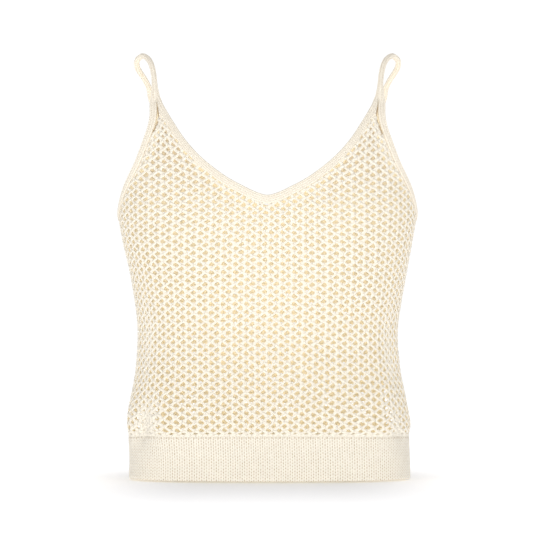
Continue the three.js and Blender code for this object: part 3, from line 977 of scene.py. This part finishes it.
def new_group(name, inputs, build):
    """A shader node group with named float or vector inputs, made once. Build adds its nodes,
    given a function for its maths and its input sockets, and returns its named outputs."""
    group = bpy.data.node_groups.get(name)
    if group:
        return group
    group = bpy.data.node_groups.new(name, "ShaderNodeTree")
    for label, kind in inputs.items():
        group.interface.new_socket(label, in_out="INPUT", socket_type=f"NodeSocket{kind}")
    given = group.nodes.new("NodeGroupInput").outputs
    results = build(group, partial(work_out, group), given)
    for label in results:
        group.interface.new_socket(label, in_out="OUTPUT", socket_type="NodeSocketFloat")
    out = group.nodes.new("NodeGroupOutput")
    for label, socket in results.items():
        group.links.new(socket, out.inputs[label])
    return group


PLY_SHARPNESS = 3  # of the painted shade in the grooves between plies
# Painted shade in the gaps between a stitch's legs, and darker painted shade in dots where they
# meet the next stitch
GAP_SHADE, GAP_SHARPNESS = 0.15, 3.5
DOT_SHADE, DOT_SHARPNESS = 2.0, 1.2


def build_spun_yarn(group, maths, given):
    """Plies that wind round a strand, and painted shade in the grooves between them."""
    along, round_it, _ = new_node(group, "ShaderNodeSeparateXYZ", {0: given["UV"]}).outputs
    wind = maths("MULTIPLY", along, given["Turns"])
    phase = maths("FRACT", maths("ADD", wind, maths("MULTIPLY", round_it, given["Plies"])))
    ply = maths("SINE", maths("MULTIPLY", phase, math.pi))
    return {"Height": ply, "Groove": maths("POWER", maths("SUBTRACT", 1, ply), PLY_SHARPNESS)}


def build_plain_stitch(group, maths, given):
    """The V of a plain knit stitch, with painted shade in its gaps and dots: U counts wales and V
    counts courses.
    """
    wale, course, _ = new_node(group, "ShaderNodeSeparateXYZ", {0: given["UV"]}).outputs
    in_wale = maths("SUBTRACT", maths("FRACT", wale), 0.5)
    aside = maths("MULTIPLY", maths("ABSOLUTE", in_wale), 2)
    row = maths("FRACT", maths("SUBTRACT", course, maths("MULTIPLY", aside, STITCH_LEAN)))
    yarn = maths("SINE", maths("MULTIPLY", row, math.pi))
    off_leg = maths("MULTIPLY", maths("ABSOLUTE", maths("SUBTRACT", aside, 0.5)), 2)
    leg = maths("SUBTRACT", 1, maths("POWER", off_leg, 2))
    low = maths("POWER", maths("SUBTRACT", 1, yarn), DOT_SHARPNESS)
    dots = maths("ADD", GAP_SHADE, maths("MULTIPLY", low, DOT_SHADE))
    return {
        "Height": maths("MULTIPLY", maths("ADD", yarn, 1), leg),
        "Groove": maths("MULTIPLY", maths("POWER", off_leg, GAP_SHARPNESS), dots),
    }


def build_fluff(group, maths, given):
    """Soft uneven shading of cotton: broad patches, uneven yarn and fine fibres."""
    place = new_node(group, "ShaderNodeTexCoord").outputs["Object"]
    return {
        label: new_node(
            group, "ShaderNodeTexNoise",
            {"Vector": place, "Scale": scale, "Detail": detail, "Roughness": rough},
        ).outputs["Fac"]
        for label, scale, detail, rough in (
            ("Patches", given["Patch size"], 2.0, 0.5),
            ("Uneven", 330.0, 1.0, 0.5),
            ("Fibres", 2600.0, 2.0, 0.7),
        )
    }


# The effects. Columns: group's name, its inputs, how it is built.
SPUN_YARN = ("Spun yarn", {"UV": "Vector", "Turns": "Float", "Plies": "Float"}, build_spun_yarn)
PLAIN_STITCH = ("Plain stitch", {"UV": "Vector"}, build_plain_stitch)
FLUFF = ("Cotton fluff", {"Patch size": "Float"}, build_fluff)
# The finishes. Columns: colour, effect, its values, how strong the painted shade in its grooves
# is, and the height of its relief.
FINISHES = {
    "openwork_cotton": ("cream", SPUN_YARN, {"Turns": 3.0, "Plies": 4.0}, 0.25, 0.15 * MM),
    "band_cotton": ("plain_cream", PLAIN_STITCH, {}, 1.0, 0.6 * MM),
    "binding_cotton": ("binding_cream", PLAIN_STITCH, {}, 0.35, 0.35 * MM),
}
PATCH_SIZE, PATCH_SHADE = 55.0, 0.1
FIBRE_HEIGHT = 0.35  # of the relief's
GROOVE_SHADE, GROOVE_UNEVEN = 2.8, 1.5  # how strong the painted shade in a groove is, and how unevenly so


def colour_mix(tree, amount, first, second):
    """The result of mixing two colours, which are values or sockets."""
    mix = new_node(
        tree, "ShaderNodeMix", {"Factor": amount}, data_type="RGBA", clamp_factor=True
    )
    for socket, value in ((mix.inputs["A"], first), (mix.inputs["B"], second)):
        if isinstance(value, bpy.types.NodeSocket):
            tree.links.new(value, socket)
        else:
            socket.default_value = (*value, 1)
    return mix.outputs["Result"]


def cotton_material(name, sizes):
    """Cotton yarn in one of the finishes, with painted shade, made the first time that it is asked
    for.
    """
    if name in bpy.data.materials:
        return bpy.data.materials[name]
    cream, effect, values, depth, bump = FINISHES[name]
    cream, deep, inside = (
        getattr(sizes, label)[:] for label in (cream, "patch_and_shade_cream", "inside_shade_colour")
    )
    material = bpy.data.materials.new(name)
    material.use_nodes = True
    tree = material.node_tree
    tree.nodes.clear()
    maths = partial(work_out, tree)
    uv = new_node(tree, "ShaderNodeUVMap", uv_map="yarn").outputs["UV"]
    pattern = new_node(
        tree, "ShaderNodeGroup", {"UV": uv, **values}, node_tree=new_group(*effect)
    ).outputs
    fluff = new_node(
        tree, "ShaderNodeGroup", {"Patch size": PATCH_SIZE}, node_tree=new_group(*FLUFF)
    ).outputs
    shade = colour_mix(tree, maths("MULTIPLY", fluff["Patches"], PATCH_SHADE), cream, deep)
    # Painted shade in the grooves between plies and stitches, unevenly strong.
    strength = maths("POWER", fluff["Uneven"], GROOVE_UNEVEN)
    strength = maths("MULTIPLY", strength, GROOVE_SHADE * depth)
    shade = colour_mix(tree, maths("MULTIPLY", pattern["Groove"], strength), shade, deep)
    # Painted shade: the inside shade colour where the yarn faces into the garment, and the deep
    # colour where the deep mask says.
    for mask, colour in (("inner", inside), ("deep", deep)):
        amount = new_node(tree, "ShaderNodeAttribute", attribute_name=mask).outputs["Fac"]
        shade = colour_mix(tree, amount, shade, colour)
    height = maths("ADD", pattern["Height"], maths("MULTIPLY", fluff["Fibres"], FIBRE_HEIGHT))
    bumped = new_node(
        tree, "ShaderNodeBump", {"Strength": 0.6, "Distance": bump, "Height": height}
    )
    surface = new_node(
        tree, "ShaderNodeBsdfPrincipled",
        {
            "Base Color": shade, "Roughness": 0.9, "Normal": bumped.outputs["Normal"],
            "Sheen Weight": 0.25, "Sheen Roughness": 0.5, "Specular IOR Level": 0.2,
        },
    )
    new_node(tree, "ShaderNodeOutputMaterial", {"Surface": surface.outputs[0]})
    return material


# ---- Add-on ----


def length_prop(name, description, default):
    """A length that a user can set."""
    return bpy.props.FloatProperty(
        name=name, description=description, default=default, unit="LENGTH"
    )


def colour_prop(name, description, default):
    """A colour that a user can set."""
    return bpy.props.FloatVectorProperty(
        name=name, description=description, default=default, subtype="COLOR", min=0, max=1
    )


class TankTopSizes(bpy.types.PropertyGroup):
    """Sizes and colours of the garment that a user would change."""

    yarn_width: length_prop("Yarn width", "Width of a strand of the openwork", 3.05 * MM)
    yarn_thickness: length_prop(
        "Yarn thickness", "Thickness of a strand of the openwork", 1.2 * MM
    )
    spine_width: length_prop(
        "Rib strand width", "Width of the upright strand behind each rib", 2.9 * MM
    )
    crossing_lift: length_prop(
        "Crossing lift", "How far each strand lies off the middle where two cross", 0.35 * MM
    )
    band_thickness: length_prop("Band thickness", "Thickness of the hem band", 2.4 * MM)
    binding_thickness: length_prop(
        "Binding thickness", "Thickness of the neck and armhole bindings", 3.2 * MM
    )
    neck_binding_width: length_prop(
        "Neck binding width", "Width of the neck binding at the V", 9.2 * MM
    )
    strap_diameter: length_prop("Strap diameter", "Diameter of the shoulder straps", 5.8 * MM)
    cream: colour_prop("Cream", "Colour of the openwork's yarn", (0.965, 0.915, 0.80))
    plain_cream: colour_prop("Plain cream", "Colour of the hem bands", (0.99, 0.945, 0.83))
    binding_cream: colour_prop(
        "Binding cream", "Colour of the bindings and straps", (0.955, 0.892, 0.765)
    )
    # The darker end of the random patches, and the colour of the painted shade in grooves, stitch
    # gaps, eyelets, the slit and seam strands and the peaks.
    patch_and_shade_cream: colour_prop(
        "Deep cream", "Colour between plies and stitches", (0.62, 0.49, 0.33)
    )
    # Painted shade: the side of the yarn that faces into the garment is coloured as the warm shade
    # inside it.
    inside_shade_colour: colour_prop(
        "Inside", "Colour of the yarn inside the garment, where light is warm",
        (0.96, 0.85, 0.61),
    )


def knit(context, make, sides, finish):
    """The pieces that a function makes for each face or side, in one of the finishes."""
    sizes = context.scene.tank_top
    return [make(side, sizes, cotton_material(finish, sizes)) for side in sides]


class TANKTOP_OT_openwork(bpy.types.Operator):
    """Lay the openwork nets of the front and the back"""

    bl_idname = "tanktop.openwork"
    bl_label = "Openwork"

    def execute(self, context):
        nets = knit(context, make_openwork, (FRONT, BACK), "openwork_cotton")
        return {"FINISHED"}


class TANKTOP_OT_hem_bands(bpy.types.Operator):
    """Knit the hem bands"""

    bl_idname = "tanktop.hem_bands"
    bl_label = "Hem bands"

    def execute(self, context):
        for piece in knit(context, make_hem_band, (FRONT, BACK), "band_cotton"):
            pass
        return {"FINISHED"}


class TANKTOP_OT_neck_bindings(bpy.types.Operator):
    """Knit the neck bindings"""

    bl_idname = "tanktop.neck_bindings"
    bl_label = "Neck bindings"

    def execute(self, context):
        for piece in knit(context, make_neck_binding, (FRONT, BACK), "binding_cotton"):
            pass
        return {"FINISHED"}


class TANKTOP_OT_armhole_bindings(bpy.types.Operator):
    """Knit the armhole bindings"""

    bl_idname = "tanktop.armhole_bindings"
    bl_label = "Armhole bindings"

    def execute(self, context):
        for piece in knit(context, make_armhole_binding, (LEFT, RIGHT), "binding_cotton"):
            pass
        return {"FINISHED"}


class TANKTOP_OT_straps(bpy.types.Operator):
    """Knit the shoulder straps"""

    bl_idname = "tanktop.straps"
    bl_label = "Straps"

    def execute(self, context):
        knit(context, make_strap, (LEFT, RIGHT), "binding_cotton")
        return {"FINISHED"}


# ---- Stage ----

FLOOR_DROP = 1.0 * MM  # the floor lies this far below the hem
FLOOR_REACH = 30  # half its width
FLOOR_COLOUR = (0.955, 0.955, 0.96)
FLOOR_SHADE = (0.85, 0.86, 0.875)  # painted shadow beside the hem
FLOOR_GLOW = 0.5  # how much the floor glows away from the hem, past its painted shadow
FLOOR_BOUNCE = 3.0  # power of the fade of the painted shadow in the light that the floor sends back
FLOOR_GLOW_LOST = 0.85  # the share of that glow lost beside the hem, as painted shadow
# How the painted shadow fades. Columns: axis, where it ends, where it is full, the curve in
# between.
FLOOR_FADES = (
    (0, -0.235, -0.07, "SMOOTHSTEP"),
    (0, 0.235, 0.07, "SMOOTHSTEP"),
    (1, -0.82, 0.0, "LINEAR"),
    (1, 0.40, 0.08, "SMOOTHSTEP"),
)
CAMERA_PLACE = (-1.05 * MM, -EYE_DISTANCE, EYE_Z)
CAMERA_LENS = 386.0  # millimetres, on the default sensor
# Studio lights. Columns: name, place, size, power in watts. Each faces the garment's middle.
LIGHTS = (
    ("key_light", (-2.1, -3.1, 0.1), 2.2, 26.5),
    ("fill_light", (2.3, -2.8, -0.1), 2.4, 20.0),
    ("low_light", (0.0, -3.0, -0.38), 1.2, 26.5),
    ("back_light", (0.9, 3.4, 0.2), 2.4, 15.0),
)
# The inside of the garment is lit by small warm lights, as light that comes through the yarn would.
INSIDE_LIGHTS = ((-0.14, 0.068), (-0.25, 0.050), (-0.36, 0.057))  # heights and powers
INSIDE_RADIUS = 45 * MM
INSIDE_BEHIND = 5 * MM  # how far behind the straps they hang
INSIDE_COLOUR = (1.0, 0.92, 0.80)
SURROUND = 0.57  # strength of the white surround's light
SURROUND_SEEN = 1.05  # and as the camera sees it
SURROUND_COLOUR = (1.0, 0.985, 0.985)


def make_floor():
    """A pale floor as wide as the studio, with a shadow painted round the hem."""
    bm = bmesh.new()
    bmesh.ops.create_grid(bm, x_segments=2, y_segments=2, size=FLOOR_REACH)
    bmesh.ops.translate(bm, verts=bm.verts, vec=(0, 0, HEM_Z - FLOOR_DROP))
    mesh = bpy.data.meshes.new("studio_floor")
    bm.to_mesh(mesh)
    bm.free()
    floor = bpy.data.objects.new("studio_floor", mesh)
    bpy.context.scene.collection.objects.link(floor)
    material = bpy.data.materials.new("pale_floor")
    material.use_nodes = True
    tree = material.node_tree
    surface = tree.nodes["Principled BSDF"]
    maths = partial(work_out, tree)
    place = new_node(tree, "ShaderNodeTexCoord").outputs["Object"]
    parts = new_node(tree, "ShaderNodeSeparateXYZ", {0: place})
    # Painted shadow: near is 1 beside the hem and fades away from it; it darkens the floor's colour
    # and lowers its glow.
    near = 1.0
    for axis, end, full, curve in FLOOR_FADES:
        within = new_node(
            tree, "ShaderNodeMapRange",
            {"Value": parts.outputs[axis], "From Min": end, "From Max": full},
            interpolation_type=curve,
        )
        near = maths("MULTIPLY", near, within.outputs["Result"])
    seen = new_node(tree, "ShaderNodeLightPath").outputs["Is Camera Ray"]
    less = maths("MULTIPLY", seen, FLOOR_BOUNCE - 1)
    near = maths("POWER", near, maths("SUBTRACT", FLOOR_BOUNCE, less))
    shade = colour_mix(tree, near, FLOOR_COLOUR, FLOOR_SHADE)
    tree.links.new(shade, surface.inputs["Base Color"])
    kept = maths("SUBTRACT", 1, maths("MULTIPLY", near, FLOOR_GLOW_LOST))
    tree.links.new(maths("MULTIPLY", kept, FLOOR_GLOW), surface.inputs["Emission Color"])
    surface.inputs["Emission Strength"].default_value = 1.0
    surface.inputs["Roughness"].default_value = 1.0
    surface.inputs["Specular IOR Level"].default_value = 0.0
    mesh.materials.append(material)


def make_world():
    """A white surround that looks plain white and lights the garment evenly."""
    world = bpy.data.worlds.new("white_studio")
    bpy.context.scene.world = world
    world.use_nodes = True
    tree = world.node_tree
    tree.nodes.clear()
    seen = new_node(tree, "ShaderNodeLightPath").outputs["Is Camera Ray"]
    extra = work_out(tree, "MULTIPLY", seen, SURROUND_SEEN - SURROUND)
    strength = work_out(tree, "ADD", extra, SURROUND)
    white = colour_mix(tree, seen, SURROUND_COLOUR, (1, 1, 1))
    back = new_node(tree, "ShaderNodeBackground", {"Color": white, "Strength": strength})
    new_node(tree, "ShaderNodeOutputWorld", {"Surface": back.outputs[0]})


def aim(thing, place, target):
    """Puts a light or camera at a place, looking at a target."""
    way = np.array(target, float) - np.array(place, float)
    thing.location = place
    thing.rotation_euler = (
        math.pi / 2 + math.atan2(way[2], math.hypot(way[0], way[1])),
        0,
        math.atan2(-way[0], way[1]),
    )
    bpy.context.scene.collection.objects.link(thing)


class TANKTOP_OT_stage(bpy.types.Operator):
    """Set up the floor, the white surround, the lights and the camera"""

    bl_idname = "tanktop.stage"
    bl_label = "Stage"

    def execute(self, context):
        make_floor()
        make_world()
        for name, place, size, power in LIGHTS:
            light = bpy.data.lights.new(name, "AREA")
            light.size, light.energy = size, power
            aim(bpy.data.objects.new(name, light), place, (0, 0, EYE_Z))
        for number, (height, power) in enumerate(INSIDE_LIGHTS):
            light = bpy.data.lights.new(f"inside_light_{number}", "POINT")
            light.shadow_soft_size, light.energy = INSIDE_RADIUS, power
            light.color = INSIDE_COLOUR
            lamp = bpy.data.objects.new(f"inside_light_{number}", light)
            lamp.visible_camera = False
            aim(lamp, (0, INSIDE_BEHIND, height), (0, 1, height))
        camera = bpy.data.objects.new("camera", bpy.data.cameras.new("camera"))
        camera.data.lens = CAMERA_LENS
        aim(camera, CAMERA_PLACE, (CAMERA_PLACE[0], 0, EYE_Z))
        context.scene.camera = camera
        context.scene.view_settings.view_transform = "Standard"
        return {"FINISHED"}


OPERATORS = (
    TANKTOP_OT_stage,
    TANKTOP_OT_openwork,
    TANKTOP_OT_hem_bands,
    TANKTOP_OT_neck_bindings,
    TANKTOP_OT_armhole_bindings,
    TANKTOP_OT_straps,
)


class TANKTOP_PT_pieces(bpy.types.Panel):
    """Lists the operators that make the garment"""

    bl_label = "Knit Tank Top"
    bl_idname = "TANKTOP_PT_pieces"
    bl_space_type = "VIEW_3D"
    bl_region_type = "UI"
    bl_category = "Knitwear"

    def draw(self, context):
        for operator in OPERATORS:
            self.layout.operator(operator.bl_idname)
        for name in TankTopSizes.__annotations__:
            self.layout.prop(context.scene.tank_top, name)


CLASSES = (TankTopSizes, *OPERATORS, TANKTOP_PT_pieces)


def register():
    for cls in CLASSES:
        bpy.utils.register_class(cls)
    bpy.types.Scene.tank_top = bpy.props.PointerProperty(type=TankTopSizes)


def unregister():
    del bpy.types.Scene.tank_top
    for cls in reversed(CLASSES):
        bpy.utils.unregister_class(cls)


def main():
    register()
    for make in (
        bpy.ops.tanktop.stage,
        bpy.ops.tanktop.openwork,
        bpy.ops.tanktop.hem_bands,
        bpy.ops.tanktop.neck_bindings,
        bpy.ops.tanktop.armhole_bindings,
        bpy.ops.tanktop.straps,
    ):
        make()


if __name__ == "__main__":
    main()
